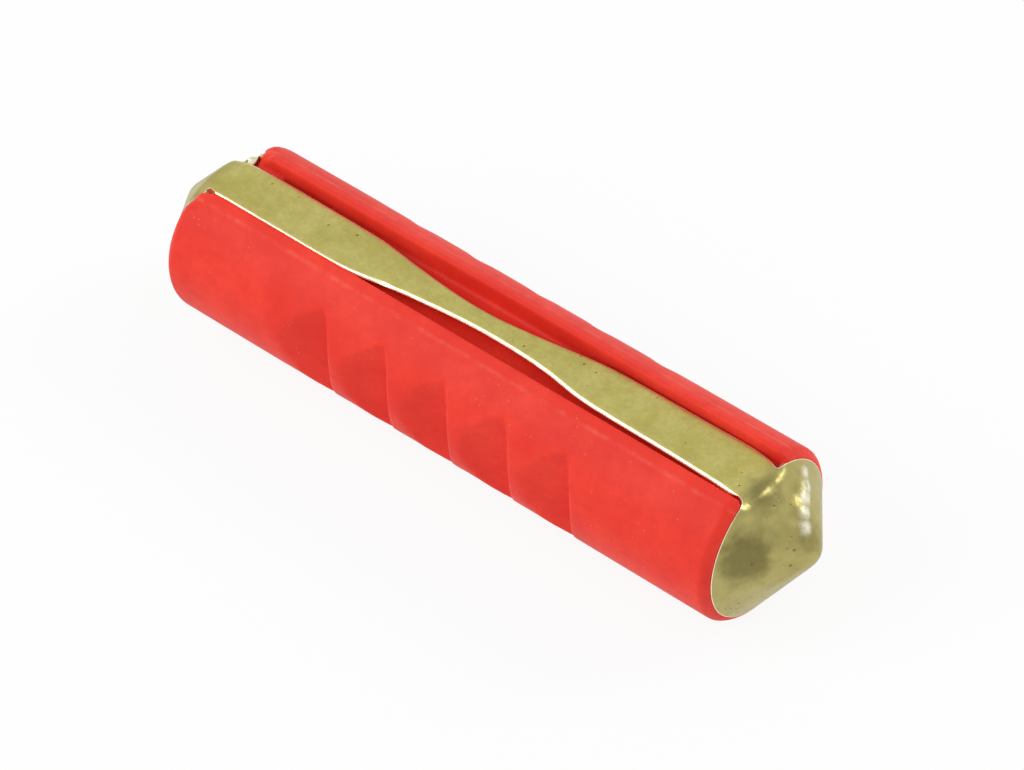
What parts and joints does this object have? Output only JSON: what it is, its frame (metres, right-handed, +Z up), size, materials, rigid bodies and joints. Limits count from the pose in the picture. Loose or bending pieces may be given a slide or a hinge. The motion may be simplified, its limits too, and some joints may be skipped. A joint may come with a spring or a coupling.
{
  "type": "porcelain fuse",
  "caption": "Cartridge fuse with conical contacts: grooved red barrel holding one formed brass strip whose waist is the fuse link.",
  "frame": {"origin": "under the middle of the fuse, on the level of the barrel's lowest line", "axes": "+X along the fuse's axis towards its near cone, +Z up out of the groove that holds the strip, +Y to the side"},
  "size_m": [0.025, 0.0058, 0.0056],
  "materials": {
    "moulded_body": "satin moulded, red through and through",
    "brass_strip": "dull rolled brass, lightly tarnished, bright on its cut edges"
  },
  "bodies": {
    "root": {"insulator_body": "moulded_body", "fuse_strip": "brass_strip"}
  },
  "joints": []
}
